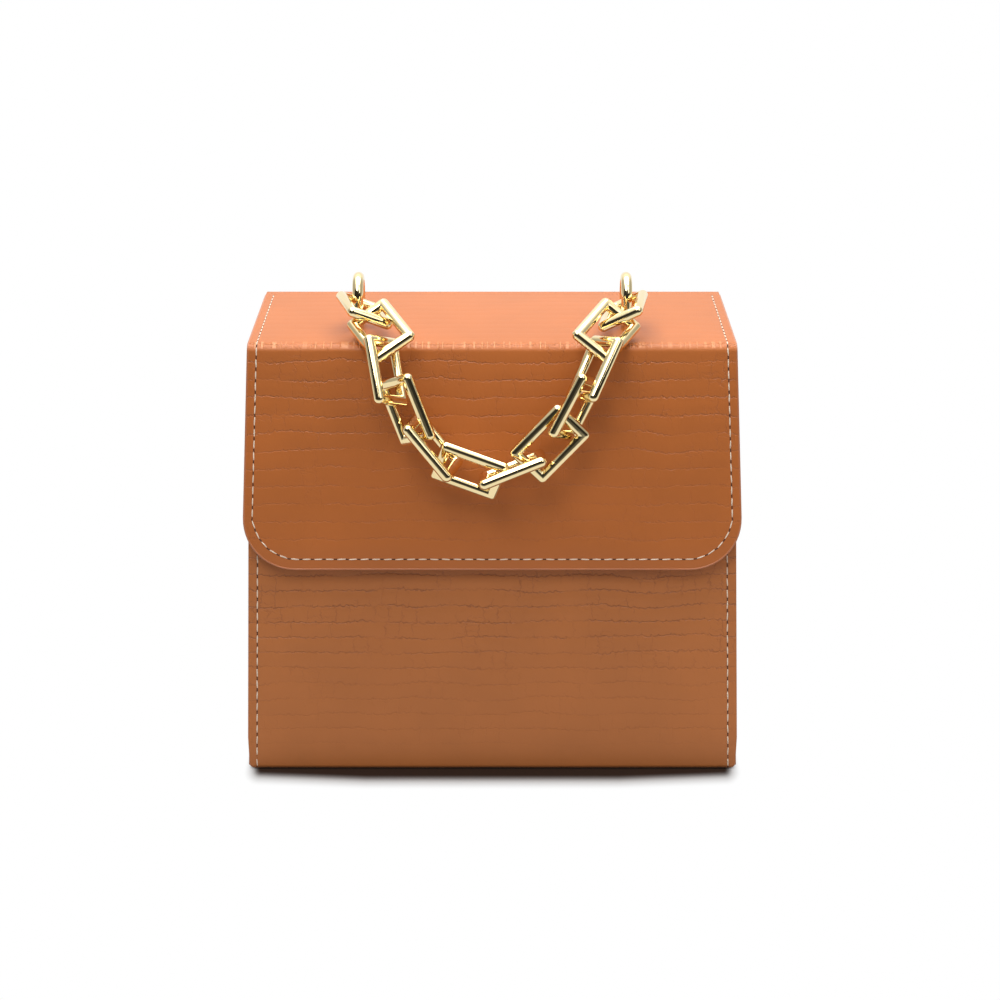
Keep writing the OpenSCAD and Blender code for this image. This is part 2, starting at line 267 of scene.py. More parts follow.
def embossedLeather(name, look, start, mirrored=0.0):
    # long jagged creases across, shorter ones down, pressed deeper in some places than in others, with painted
    # shade in the creases.
    # Past the mirrored length the depths run back again, so that the back is pressed like the front.
    material, tree = newMaterial(name)
    uv = addNode(tree, "ShaderNodeUVMap", uv_map="skin").outputs[0]
    flat = addNode(tree, "ShaderNodeVectorMath", {0: uv, 3: 1000.0}, operation="SCALE").outputs[0]
    place = addNode(tree, "ShaderNodeVectorMath", {0: flat, 1: (0.0, start * 1000, 0.0)},
                    operation="SUBTRACT").outputs[0]
    split = addNode(tree, "ShaderNodeSeparateXYZ", {0: place}).outputs

    def shifted(x, y):
        return addNode(tree, "ShaderNodeVectorMath", {0: place, 1: (x, y, 5.0)},
                       operation="ADD").outputs[0]
    # the creases' waves and jags, all in millimetres
    wideWave = softNoise(tree, place, 26.0, 1.0)
    jag = softNoise(tree, place, 2.4, 3.0, 0.65)
    jagAcross = softNoise(tree, shifted(31.0, 17.0), 3.4, 2.0, 0.6)
    cusp = calc(tree, "PINGPONG", plus(tree, split[0], times(tree, jagAcross, 7.0)), 1.6)
    cusp = calc(tree, "DIVIDE", cusp, 1.6)
    rise = plus(tree, times(tree, minus(tree, wideWave, 0.5), 5.5),
                times(tree, minus(tree, jag, 0.5), 2.2))
    rise = plus(tree, rise, times(tree, calc(tree, "POWER", cusp, 2.0), 0.65))
    down = plus(tree, split[1], rise)
    row = calc(tree, "FLOOR", calc(tree, "DIVIDE", down, look["rowHeight"]))
    fromRow = calc(tree, "PINGPONG", down, look["rowHeight"] / 2)
    rowChance = addNode(tree, "ShaderNodeTexWhiteNoise", {"W": row}, noise_dimensions="1D").outputs[0]
    jump = times(tree, rowChance, 47.0)
    sway = times(tree, minus(tree, jagAcross, 0.5), 5.0)
    acrossPlace = plus(tree, plus(tree, split[0], jump), sway)
    fromScale = calc(tree, "PINGPONG", acrossPlace, look["scaleWidth"] / 2)
    patch = softNoise(tree, place, 17.0, 2.0)
    finePatch = softNoise(tree, shifted(7.0, 63.0), 11.0, 1.0)
    long = times(tree, fade(tree, fromRow, 0.0, look["creaseWidth"], 1.0, 0.0),
                 fade(tree, finePatch, 0.3, 0.55, 0.3, 1.0))
    short = times(tree, fade(tree, fromScale, 0.0, look["creaseWidth"] * 0.8, 1.0, 0.0),
                  fade(tree, patch, 0.46, 0.62, 0.0, 0.6))
    # faint second creases between the rows
    fromHalf = calc(tree, "PINGPONG", plus(tree, down, times(tree, jagAcross, 4.0)),
                    look["rowHeight"] / 4)
    second = times(tree, fade(tree, fromHalf, 0.0, look["creaseWidth"] * 0.7, 0.35, 0.0),
                   fade(tree, patch, 0.5, 0.68, 0.0, 1.0))
    crease = calc(tree, "MAXIMUM", calc(tree, "MAXIMUM", long, short), second)
    reach = calc(tree, "PINGPONG", split[1], mirrored * 1000) if mirrored else split[1]
    pressed = times(tree, fade(tree, reach, *look["deepest"], look["behind"], 1.0),
                    fade(tree, reach, *look["fading"], 1.0, look["faint"]))
    pressed = times(tree, pressed, fade(tree, reach, *look["plain"], 1.0, 0.0))
    crease = times(tree, crease, pressed)
    # short dashes pressed in where the skin is bent over the front edge, with a painted highlight on them
    alongOnly = addNode(tree, "ShaderNodeCombineXYZ", {0: split[0], 2: 3.0}).outputs[0]
    dashSway = times(tree, softNoise(tree, alongOnly, 7.0, 2.0), 11.0)
    fromDash = calc(tree, "PINGPONG", plus(tree, split[0], dashSway), 1.6)
    onBend = fade(tree, calc(tree, "ABSOLUTE", plus(tree, split[1], 0.9)), 1.7, 2.9,
                  look["bendDashes"], 0.0)
    dash = times(tree, times(tree, fade(tree, fromDash, 0.25, 0.6, 1.0, 0.0), onBend),
                 fade(tree, finePatch, 0.35, 0.6, 0.3, 0.8))
    grain = softNoise(tree, place, 0.35, 2.0)
    pillow = times(tree, fade(tree, fromRow, 0.0, look["rowHeight"] / 2, 0.0, 1.0),
                   times(tree, pressed, 0.5))
    height = plus(tree, pillow, times(tree, grain, 0.08))
    height = minus(tree, minus(tree, height, crease), dash)
    normal = raised(tree, height, look["depth"], 0.9)
    cloud = softNoise(tree, place, 38.0, 3.0)
    tint = blendColor(tree, fade(tree, cloud, 0.3, 0.7, 0.0, 1.0), linear(*look["color"]),
                      linear(*[c * 0.965 for c in look["color"]]))
    # painted shade: the creases are darkened, most where they are pressed deepest, near the top
    color = blendColor(tree, times(tree, crease, look["creaseShade"]), tint, linear(*look["creaseShadeColor"]))
    # painted highlight: the bend's dashes are made paler
    color = blendColor(tree, times(tree, dash, 0.45), color, linear(*look["dashGlintColor"]))
    roughness = plus(tree, look["roughness"], times(tree, minus(tree, grain, 0.5), 0.16))
    finish(tree, color, roughness, normal, Specular_IOR_Level=0.42)
    return material


def paintedEdge():
    material, tree = newMaterial("edge_paint")
    where = objectPlace(tree)
    ripple = softNoise(tree, where, 0.0016, 2.0)
    tint = blendColor(tree, softNoise(tree, where, 0.012, 2.0), linear(188, 117, 74),
                      linear(174, 102, 61))
    finish(tree, tint, 0.36, raised(tree, ripple, 0.00012), Coat_Weight=0.15, Coat_Roughness=0.3)
    return material


def polishedGold():
    material, tree = newMaterial("polished_gold")
    where = objectPlace(tree)
    wear = softNoise(tree, where, 0.006, 3.0)
    roughness = fade(tree, wear, 0.3, 0.75, 0.05, 0.12)
    tint = blendColor(tree, softNoise(tree, where, 0.02, 2.0), linear(243, 226, 180),
                      linear(236, 213, 158))
    normal = raised(tree, softNoise(tree, where, 0.0022, 2.0), 0.00003)
    finish(tree, tint, roughness, normal, Metallic=1.0)
    return material


def creamThread():
    material, tree = newMaterial("cream_thread")
    where = objectPlace(tree)
    twist = addNode(tree, "ShaderNodeTexWave", {"Vector": where, "Scale": 900.0, "Distortion": 1.5},
                    bands_direction="DIAGONAL").outputs[1]
    tint = blendColor(tree, twist, linear(228, 206, 178), linear(250, 238, 220))
    finish(tree, tint, 0.62, raised(tree, twist, 0.00012), Sheen_Weight=0.3)
    return material


def needleHoleShade():
    # a dark colour that paints the shade inside a needle hole
    material, tree = newMaterial("needle_hole_shade")
    where = objectPlace(tree)
    tint = blendColor(tree, softNoise(tree, where, 0.001, 1.0), linear(66, 38, 26), linear(92, 54, 34))
    finish(tree, tint, 0.8)
    return material


def wovenLining():
    material, tree = newMaterial("woven_lining")
    uv = addNode(tree, "ShaderNodeUVMap", uv_map="skin").outputs[0]
    place = addNode(tree, "ShaderNodeVectorMath", {0: uv, 3: 1000.0}, operation="SCALE").outputs[0]
    split = addNode(tree, "ShaderNodeSeparateXYZ", {0: place}).outputs
    warp = calc(tree, "ABSOLUTE", calc(tree, "SINE", times(tree, split[0], 5.2)))
    weft = calc(tree, "ABSOLUTE", calc(tree, "SINE", times(tree, split[1], 5.2)))
    weave = times(tree, warp, weft)
    tint = blendColor(tree, weave, linear(146, 104, 74), linear(196, 150, 112))
    cloudy = blendColor(tree, fade(tree, softNoise(tree, place, 30.0, 2.0), 0.3, 0.7, 0.0, 0.25), tint,
                        linear(150, 108, 78))
    finish(tree, cloudy, 0.78, raised(tree, weave, 0.00012), Sheen_Weight=0.35, Sheen_Roughness=0.4)
    return material


def greyBoard():
    material, tree = newMaterial("grey_board")
    where = objectPlace(tree)
    fleck = softNoise(tree, where, 0.0009, 4.0, 0.7)
    tint = blendColor(tree, fade(tree, fleck, 0.35, 0.7), linear(150, 132, 112), linear(176, 158, 136))
    finish(tree, tint, 0.9, raised(tree, fleck, 0.0001))
    return material


def brushedSteel():
    material, tree = newMaterial("brushed_steel")
    where = objectPlace(tree)
    stretch = addNode(tree, "ShaderNodeMapping", {"Vector": where, "Scale": (6.0, 300.0, 6.0)}).outputs[0]
    lines = softNoise(tree, stretch, 0.01, 3.0)
    finish(tree, linear(196, 197, 199), fade(tree, lines, 0.3, 0.7, 0.25, 0.42),
           raised(tree, lines, 0.00002), Metallic=1.0)
    return material


bodyLeather = embossedLeather("body_leather", bodyLook, 0.0, (frontBend[1] + rearBend[0]) / 2)
lidLeather = embossedLeather("lid_leather", leatherLook, dropStart)
edgePaint = paintedEdge()
gold = polishedGold()
thread = creamThread()
holeShade = needleHoleShade()
liningCloth = wovenLining()
board = greyBoard()
steel = brushedSteel()
# the solids that stay in view take the same materials, by their slot
slotLooks = {"leather": bodyLeather, "board": board, "lining": liningCloth, "gold": gold, "steel": steel}
for entry in frame["record"]["subparts"]:
    mesh = frame["nodes"][entry["node"]].data
    mesh.materials.clear()
    mesh.materials.append(slotLooks[entry["material_slot"]])
print("materials made")


# Flat pattern pieces are cut in x and s, thickened, then folded into place

def cutPattern(outline, rounded=(), radius=0.0, segments=12):
    flat = bmesh.new()
    corners = [flat.verts.new((x, s, 0.0)) for x, s in outline]
    flat.faces.new(corners)
    if rounded:
        bmesh.ops.bevel(flat, geom=[corners[i] for i in rounded], offset=radius,
                        offset_type="OFFSET", segments=segments, profile=0.5, affect="VERTICES",
                        material=-1)
    return flat


def cutAt(flat, axis, places):
    normal = [0.0, 0.0, 0.0]
    normal[axis] = 1.0
    for place in places:
        point = [0.0, 0.0, 0.0]
        point[axis] = place
        bmesh.ops.bisect_plane(flat, geom=flat.verts[:] + flat.edges[:] + flat.faces[:],
                               dist=1e-7, plane_co=point, plane_no=normal)


def steps(low, high, pitch):
    count = max(1, ceil((high - low) / pitch))
    return [low + (high - low) * i / count for i in range(1, count)]


def cutBend(flat, low, high, count):
    cutAt(flat, 1, [low] + steps(low, high, (high - low) / count) + [high])


def keepRim(flat, width):
    # leaves only a strip of this width along the outline
    cut = bmesh.ops.inset_region(flat, faces=flat.faces[:], thickness=width, use_even_offset=True,
                                 use_boundary=True)
    rim = set(cut["faces"])
    bmesh.ops.delete(flat, geom=[f for f in flat.faces if f not in rim], context="FACES")


def thicken(flat, top, bottom):
    for vert in flat.verts:
        vert.co.z = top
    grown = bmesh.ops.extrude_face_region(flat, geom=flat.faces[:])
    for item in grown["geom"]:
        if isinstance(item, bmesh.types.BMVert):
            item.co.z = bottom
    bmesh.ops.recalc_face_normals(flat, faces=flat.faces[:])


def roundRims(flat, level, size, segments=3, joined=()):
    # rounds the edges between a flat side at this depth and the cut edge, but not where pieces join
    rims = []
    for edge in flat.edges:
        if len(edge.link_faces) != 2 or any(abs(v.co.z - level) > 1e-6 for v in edge.verts):
            continue
        if any(all(abs(v.co.y - place) < 1e-6 for v in edge.verts) for place in joined):
            continue
        tilt = sorted(abs(face.normal.z) for face in edge.link_faces)
        if tilt[0] < 0.3 and tilt[1] > 0.7:
            rims.append(edge)
    bmesh.ops.bevel(flat, geom=rims, offset=size, offset_type="OFFSET", segments=segments,
                    profile=0.5, affect="EDGES", material=-1, clamp_overlap=True)


def markPattern(flat, edgeSlot=1):
    # the pattern's own x and s become its UV map, in metres; cut edges take the second material
    layer = flat.loops.layers.uv.new("skin")
    flat.normal_update()
    for face in flat.faces:
        if abs(face.normal.z) < 0.5:
            face.material_index = edgeSlot
        for loop in face.loops:
            loop[layer].uv = (loop.vert.co.x, loop.vert.co.y)


def addObject(name, data):
    holder = bpy.data.objects.new(name, data)
    bpy.context.scene.collection.objects.link(holder)
    return holder


def keepPiece(shape, name, looks, body, replaced, creaseAngle=40):
    # a thin closed sheet can come out of its folding inside out
    if shape.calc_volume(signed=True) < 0:
        bmesh.ops.reverse_faces(shape, faces=shape.faces[:])
    mesh = bpy.data.meshes.new(name)
    shape.to_mesh(mesh)
    shape.free()
    piece = addObject(name, mesh)
    for polygon in mesh.polygons:
        polygon.use_smooth = True
    mesh.set_sharp_from_angle(angle=radians(creaseAngle))
    for look in looks:
        mesh.materials.append(look)
    if body:
        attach(piece, body)
    if replaced:
        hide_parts(*replaced)
    return piece


def swell(x, s, half, low, high, amount):
    # a soft crown, zero along the sewn edges
    across = max(0.0, 1 - (x / half) ** 2)
    along = max(0.0, min(1.0, (s - low) / (high - low)))
    return amount * across ** 0.7 * (4 * along * (1 - along)) ** 0.7


skin = {
    "thickness": bag["leather"],
    "crown": 0.0007,         # how far the body's panels stand out at their middles
    "lidCrown": 0.0006,
    "wave": 0.00022,         # unevenness of the front
    "waveSize": 0.05,
    "edgeRound": 0.00045,
    "grid": 0.012,           # spacing of the cuts across a flat piece
    "baseGrid": 0.02,
    "foldGrid": 0.0007,
    "footDraw": 0.0022,      # how far the wrap's corners are drawn in at the table
    "footHeight": 0.0045,
    "footFrom": 0.09,
}


def foldPattern(flat, crown=None, drawIn=0.0):
    for vert in flat.verts:
        x, s, depth = vert.co
        shift = crown(x, s) if crown else 0.0
        y, z = onProfile(skinProfile, s, depth - shift)
        # the side edges round in toward the table
        corner = max(0.0, (abs(x) - skin["footFrom"]) / (baseHalf - skin["footFrom"]))
        low = max(0.0, 1 - z / skin["footHeight"]) ** 2 * corner
        vert.co = (x - drawIn * low if x > 0 else x + drawIn * low, y, z)


def bodyCrown(x, s):
    half = bodyHalf(rimFront * 0.5)
    if s < frontBend[0]:
        where = Vector((x / skin["waveSize"], s / skin["waveSize"], 4.2))
        wave = skin["wave"] * noise.noise(where) if s > 0.0 else 0.0
        return swell(x, s, half, 0.0, frontBend[0], skin["crown"]) + wave
    if rearBend[1] < s < foldStart:
        return swell(x, s, half, rearBend[1], foldStart, skin["crown"])
    return 0.0


def wrapSkin():
    # front, base and back are one strip of leather
    topFront, topBack = bodyHalf(rimFront), bodyHalf(onProfile(skinProfile, foldStart).y)
    outline = [(-topFront, 0.0), (topFront, 0.0), (baseHalf, frontBend[0]), (baseHalf, rearBend[1]),
               (topBack, foldStart), (-topBack, foldStart), (-baseHalf, rearBend[1]),
               (-baseHalf, frontBend[0])]
    flat = cutPattern(outline)
    cutAt(flat, 0, steps(-baseHalf, baseHalf, skin["grid"]))
    for low, high in (frontBend, rearBend):
        cutBend(flat, low, high, 7)
    cutAt(flat, 1, steps(0.0, frontBend[0], skin["grid"]) + steps(rearBend[1], foldStart, skin["grid"])
          + steps(frontBend[1], rearBend[0], skin["baseGrid"]))
    thicken(flat, 0.0, skin["thickness"])
    roundRims(flat, 0.0, skin["edgeRound"], joined=(foldStart,))
    markPattern(flat)
    foldPattern(flat, bodyCrown, skin["footDraw"])
    return keepPiece(flat, "wrap_skin", [bodyLeather, edgePaint], "body",
                     ["front_panel", "base_panel", "back_panel"])


def foldSkin():
    # the strip of leather that bends when the lid opens
    half = bodyHalf(onProfile(skinProfile, foldStart).y)
    lidHalf = bag["creaseHalf"]
    flat = cutPattern([(-half, foldStart), (half, foldStart), (lidHalf, foldEnd), (-lidHalf, foldEnd)])
    cutAt(flat, 0, steps(-half, half, skin["grid"]))
    cutAt(flat, 1, steps(foldStart, foldEnd, skin["foldGrid"]))
    thicken(flat, 0.0, skin["thickness"])
    roundRims(flat, 0.0, skin["edgeRound"], joined=(foldStart, foldEnd))
    markPattern(flat)
    foldPattern(flat)
    piece = keepPiece(flat, "back_fold", [lidLeather, edgePaint], None, ())
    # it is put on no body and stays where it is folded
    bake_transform(piece)
    return piece


def lidCrown(x, s):
    if s > dropStart:
        return swell(x, s, bag["dropHalf"], dropStart, skinLength, skin["lidCrown"]) * 0.8
    return swell(x, s, bag["creaseHalf"], foldEnd, creaseBend[0], skin["lidCrown"])


def lidPattern(inset):
    # from the fold over the top and down the drop
    top = bag["creaseHalf"] - inset
    foot, end = dropHalfAt(skinLength) - inset, skinLength - inset
    flat = cutPattern([(-top, foldEnd), (top, foldEnd), (top, dropStart), (foot, end), (-foot, end),
                       (-top, dropStart)], (3, 4), bag["dropCorner"], 14)
    cutAt(flat, 0, steps(-bag["dropHalf"], bag["dropHalf"], skin["grid"]))
    cutBend(flat, *creaseBend, 9)
    cutAt(flat, 1, steps(foldEnd, creaseBend[0], skin["grid"])
          + steps(creaseBend[1], skinLength, skin["grid"]))
    return flat


def lidSkin():
    flat = lidPattern(0.0)
    thicken(flat, 0.0, skin["thickness"])
    roundRims(flat, 0.0, skin["edgeRound"], joined=(foldEnd,))
    markPattern(flat)
    foldPattern(flat, lidCrown)
    return keepPiece(flat, "lid_skin", [lidLeather, edgePaint], "lid", ["lid_cover"])


def lidEdge():
    # the painted edge that closes leather, board and lining together
    band = {"width": 0.0009, "top": -0.0001, "bottom": 0.0040, "proud": 0.0003, "round": 0.00042}
    outer = lidPattern(-band["proud"])
    keepRim(outer, band["width"])
    bmesh.ops.delete(outer, geom=[f for f in outer.faces
                                  if all(v.co.y < foldEnd + band["width"] * 1.1 for v in f.verts)
                                  and all(abs(v.co.x) < bag["creaseHalf"] - band["width"] * 2
                                          for v in f.verts)], context="FACES")
    thicken(outer, band["top"], band["bottom"])
    roundRims(outer, band["top"], band["round"])
    roundRims(outer, band["bottom"], band["round"])
    for vert in outer.verts:
        vert.co.y = max(vert.co.y, foldEnd)
    markPattern(outer, edgeSlot=0)
    foldPattern(outer, lidCrown)
    return keepPiece(outer, "lid_edge", [edgePaint], "lid", (), 60)


def foldEnds():
    # painted ends of the lid's boards, under the leather that bends
    strip = {"outer": 0.0002, "inner": 0.0018, "top": 0.00005, "bottom": 0.0040, "round": 0.0004}
    low, high = foldBend[1] + 0.0004, foldEnd + 0.0003
    ends = bmesh.new()
    for side in (-1, 1):
        outer, inner = [side * (bag["creaseHalf"] - strip[edge]) for edge in ("outer", "inner")]
        ends.faces.new([ends.verts.new((x, s, 0.0)) for x, s in
                        ((inner, low), (outer, low), (outer, high), (inner, high))])
    thicken(ends, skin["thickness"] + strip["top"], strip["bottom"])
    roundRims(ends, strip["bottom"], strip["round"], joined=(high,))
    markPattern(ends, edgeSlot=0)
    foldPattern(ends)
    return keepPiece(ends, "fold_ends", [edgePaint], "lid", (), 60)


wrapSkin()
foldSkin()
lidSkin()
lidEdge()
foldEnds()
print("skins folded")


# Gussets: flat panels between the strip's edges, drawn slightly inward

gussetCut = {
    "gap": 0.00005,          # between its edge and the strip's leather
    "shy": 0.0003,           # how far it stays inside the strip's side edges
    "dip": 0.0006,
    "edgeRound": 0.0003,
    "grid": 0.01,
}


def gusset(side, name, node):
    inset = bag["leather"] + gussetCut["gap"]

    def frontAt(z):
        return frontY + z * tan(bag["frontLean"]) + inset / cos(bag["frontLean"])
    flat = cutPattern([(frontAt(0.0), inset), (backY - inset, inset), (backY - inset, rimBack),
                       (frontAt(rimFront), rimFront)], (0, 1), bag["baseBend"] - inset, 5)
    cutAt(flat, 0, steps(frontAt(0.0), backY, gussetCut["grid"]))
    cutAt(flat, 1, steps(inset, rimBack, gussetCut["grid"]))
    thicken(flat, 0.0, skin["thickness"])
    roundRims(flat, 0.0, gussetCut["edgeRound"])
    markPattern(flat)
    for vert in flat.verts:
        y, z, depth = vert.co
        middle = (frontAt(z) + backY) / 2
        half = (backY - frontAt(z)) / 2
        dip = swell(y - middle, z, half * 1.02, inset, rimFront, gussetCut["dip"])
        vert.co = (side * (bodyHalf(z) - gussetCut["shy"] - depth - dip), y, z)
    bmesh.ops.recalc_face_normals(flat, faces=flat.faces[:])
    return keepPiece(flat, name, [bodyLeather, edgePaint], "body", [node])


gusset(-1, "left_gusset_skin", "left_gusset")
gusset(1, "right_gusset_skin", "right_gusset")


# Lining: one open box of cloth in the body, one sheet under the lid

cloth = {
    "corner": 0.003,
    "slack": 0.0012,
    "looseHalf": 0.088,      # the cloth is glued from here to the sides
    "share": 0.9,            # of the lining's full thickness
    "gridHalf": 0.09,
    "grid": 0.015,
    "lidShrink": 0.0012,     # how far the lid's lining stays inside its edge
    "lidBend": 0.0012,
    "lidGrid": 0.02,
    "lidRound": 0.0003,
}


def bodyLiner():
    inner = bag["wall"]
    liner = bmesh.new()
    bmesh.ops.create_cube(liner, size=1.0)
    for vert in liner.verts:
        z = inner if vert.co.z < 0 else (rimFront if vert.co.y < 0 else rimBack)
        half = bodyHalf(z) - inner
        front = frontY + z * tan(bag["frontLean"]) + inner / cos(bag["frontLean"])
        vert.co = (half if vert.co.x > 0 else -half, front if vert.co.y < 0 else backY - inner, z)
    mouth = [f for f in liner.faces if f.normal.z > 0.9]
    bmesh.ops.delete(liner, geom=mouth, context="FACES_ONLY")
    corners = [e for e in liner.edges if len(e.link_faces) == 2]
    bmesh.ops.bevel(liner, geom=corners, offset=cloth["corner"], offset_type="OFFSET", segments=4,
                    profile=0.5, affect="EDGES", material=-1)
    cutAt(liner, 0, steps(-cloth["gridHalf"], cloth["gridHalf"], cloth["grid"]))
    cutAt(liner, 2, steps(inner, rimFront, cloth["grid"]))
    for vert in liner.verts:
        # the cloth stands a little off the board between its glued edges
        x, y, z = vert.co
        slack = swell(x, z, baseHalf, inner, rimFront, cloth["slack"])
        slack = slack * (0.6 + noise.noise(vert.co * 38))
        if abs(x) < cloth["looseHalf"]:
            vert.co.y += max(0.0, slack) * (1 if y < 0 else -1)
    bmesh.ops.recalc_face_normals(liner, faces=liner.faces[:])
    bmesh.ops.solidify(liner, geom=liner.faces[:], thickness=bag["lining"] * cloth["share"])
    layer = liner.loops.layers.uv.new("skin")
    liner.normal_update()
    for face in liner.faces:
        flatX = abs(face.normal.x) > abs(face.normal.y)
        for loop in face.loops:
            x, y, z = loop.vert.co
            loop[layer].uv = (y, z) if flatX else (x, y if abs(face.normal.z) > 0.7 else z)
    return keepPiece(liner, "body_liner", [liningCloth], "body",
                     ["front_lining", "back_lining", "base_lining", "left_gusset_lining",
                      "right_gusset_lining"], 60)


def lidLiner():
    under = bag["wall"] - bag["lining"]
    lean, slope = bag["dropLean"], atan((backZ - bag["creaseZ"]) / (backY - bag["creaseY"]))
    reach = under / cos(slope + lean)
    creaseIn = (bag["creaseY"] + reach * (cos(slope) - sin(lean)),
                bag["creaseZ"] + reach * (sin(slope) - cos(lean)))
    footIn = (dropFoot[0] + under * cos(lean), dropFoot[1] - under * sin(lean))
    profile, length = makeProfile([(backY - bag["leather"], backZ - under), creaseIn, footIn],
                                  [cloth["lidBend"]])
    turn = bendRanges(profile)[0]
    shrink = cloth["lidShrink"]
    top = bag["creaseHalf"] - shrink
    foot = bag["dropHalf"] - shrink
    flat = cutPattern([(-top, 0.0), (top, 0.0), (top, turn[1]), (foot, length - shrink),
                       (-foot, length - shrink), (-top, turn[1])], (3, 4),
                      bag["dropCorner"] - shrink, 12)
    cutAt(flat, 0, steps(-foot, foot, cloth["lidGrid"]))
    cutBend(flat, *turn, 5)
    thicken(flat, 0.0, bag["lining"])
    roundRims(flat, bag["lining"], cloth["lidRound"], 2)
    markPattern(flat, edgeSlot=0)
    for vert in flat.verts:
        x, s, depth = vert.co
        vert.co = (x, *onProfile(profile, s, depth))
    return keepPiece(flat, "lid_liner", [liningCloth], "lid", ["lid_lining"])


def rimBinding():
    # leather turned over the top of the walls
    binding = {"proud": 0.00015, "drop": 0.0016, "shy": 0.0002, "round": 0.0005}
    tilt = (rimBack - rimFront) / (backY - frontTop[0])
    half = bodyHalf(rimFront) - binding["shy"]
    low, high = frontTop[0] + binding["shy"], backY - binding["shy"]
    ring = cutPattern([(-half, low), (half, low), (half, high), (-half, high)])
    ring.normal_update()
    keepRim(ring, bag["wall"] + binding["shy"])
    thicken(ring, binding["proud"], -binding["drop"])
    roundRims(ring, binding["proud"], binding["round"])
    markPattern(ring, edgeSlot=0)
    for vert in ring.verts:
        vert.co.z += rimFront + (vert.co.y - frontTop[0]) * tilt
    bmesh.ops.recalc_face_normals(ring, faces=ring.faces[:])
    return keepPiece(ring, "rim_binding", [bodyLeather], "body", ())


bodyLiner()
lidLiner()
rimBinding()
print("gussets and linings made")


# Stitching: short thread beads between dark marks of painted shade at the needle holes, along a line on the flat
# pattern

stitch = {
    "pitch": 0.00475,
    "length": 0.0036,
    "width": 0.00054,
    "thick": 0.6,            # share of the width
    "squared": 0.25,         # makes the ends of a laid stitch blunt rather than pointed
    "lift": 0.00012,         # rise of a stitch at its middle
    "sunk": 0.00008,
    "lean": 0.07,            # how far a stitch may slant
    "hole": 0.00032,         # radius of a needle hole's dark mark of painted shade
    "holeStretch": 1.4,
    "holeFlat": 0.25,
    "holeAt": 0.43,          # share of the pitch from the stitch's middle
    "sideInset": 0.0036,     # from the lid's side edges
    "footInset": 0.0043,     # from its lower edge
    "bodyInset": 0.0038,
    "backRow": 0.003,        # below the back fold's seam
}


def walkLine(points, pitch):
    # evenly spaced places and headings along a line of points
    places = []
    spans = [(points[i + 1] - points[i]).length for i in range(len(points) - 1)]
    total = sum(spans)
    count = int(total / pitch)
    for index in range(count):
        want = (index + 0.5) * total / count
        for i, span in enumerate(spans):
            if want <= span:
                heading = (points[i + 1] - points[i]).normalized()
                places.append((points[i] + heading * want, heading))
                break
            want -= span
    return places


def sewRows(rows, name, body, place):
    beads = bmesh.new()
    holeShades = bmesh.new()
    chance = random.Random(7)
    for row in rows:
        for middle, heading in walkLine(row, stitch["pitch"]):
            side = Vector((-heading.y, heading.x))
            lean = chance.uniform(-stitch["lean"], stitch["lean"])
            size = chance.uniform(0.94, 1.05)
            bead = bmesh.ops.create_uvsphere(beads, u_segments=8, v_segments=6, radius=0.5)
            for vert in bead["verts"]:
                a, b, c = vert.co
                along = c * stitch["length"] * size
                along = along * (1.0 + stitch["squared"] * (abs(a) + abs(b)))
                across = a * stitch["width"] + lean * along
                up = b * stitch["width"] * stitch["thick"]
                up = up + stitch["lift"] * (1 - (2 * c) ** 2) - stitch["sunk"]
                flatPlace = middle + heading * along + side * across
                vert.co = place(flatPlace.x, flatPlace.y, -up)
            # at each end a flattened dark ball paints the shade of a needle hole
            for end in (-1, 1):
                dot = bmesh.ops.create_uvsphere(holeShades, u_segments=8, v_segments=4, radius=stitch["hole"])
                for vert in dot["verts"]:
                    a, b, c = vert.co
                    along = end * stitch["pitch"] * stitch["holeAt"] + a * stitch["holeStretch"]
                    flatPlace = middle + heading * along + side * b
                    vert.co = place(flatPlace.x, flatPlace.y, -c * stitch["holeFlat"])
    for shape in (beads, holeShades):
        bmesh.ops.recalc_face_normals(shape, faces=shape.faces[:])
    keepPiece(beads, name, [thread], body, (), 80)
    keepPiece(holeShades, name + "_hole_shades", [holeShade], body, (), 80)


def onLid(x, s, depth):
    return x, *onProfile(skinProfile, s, depth - lidCrown(x, s))


def onBody(x, s, depth):
    return x, *onProfile(skinProfile, s, depth - bodyCrown(x, s))


def lidRow():
    inset = stitch["sideInset"]
    radius = bag["dropCorner"] - inset
    foot = skinLength - stitch["footInset"]
    down = [Vector((bag["creaseHalf"] - inset, foldEnd + 0.001)),
            Vector((bag["creaseHalf"] - inset, dropStart))]
    edge = dropHalfAt(skinLength - bag["dropCorner"]) - inset
    arc = [Vector((edge - radius * (1 - cos(radians(a))), foot - radius + radius * sin(radians(a))))
           for a in range(0, 91, 6)]
    right = down + arc
    left = [Vector((-p.x, p.y)) for p in reversed(right)]
    return right + left


def bodyRows():
    inset = stitch["bodyInset"]
    rows = []
    for side in (-1, 1):
        # down the front into the base's bend, then up the back
        for ends in ((0.001, frontBend[0] + 0.0014), (rearBend[1] + 0.001, foldStart - 0.004)):
            rows.append([Vector((side * (bodyHalf(onProfile(skinProfile, s).y) - inset), s))
                         for s in ends])
    # the lid's leather is sewn down across the back
    across, level = bodyHalf(rimBack) - inset, foldStart - stitch["backRow"]
    return rows + [[Vector((-across, level)), Vector((across, level))]]


sewRows([lidRow()], "lid_stitching", "lid", onLid)
sewRows(bodyRows(), "body_stitching", "body", onBody)
print("stitching sewn")


# Chain and eyes: round wire bent square, each link in the place that its joint gives

chain = {
    "wire": 0.0045,
    "long": 0.0242,          # between the middles of the two short bars
    "short": 0.0153,         # between the middles of the two long bars
    "seam": 0.0005,          # softening of the mitre inside each bend
    "dip": [3, 24, 63, 84.5, 84.5, 84.5],
    "left": {"side": -1, "heading": [14, 27, 10, 21, 39, 70], "roll": [23, -23, 54, -43, 70, -30]},
    "right": {"side": 1, "heading": [8, 29, 24, 27, 44, 68], "roll": [27, -27, 54, -57, -9, 89]},
}


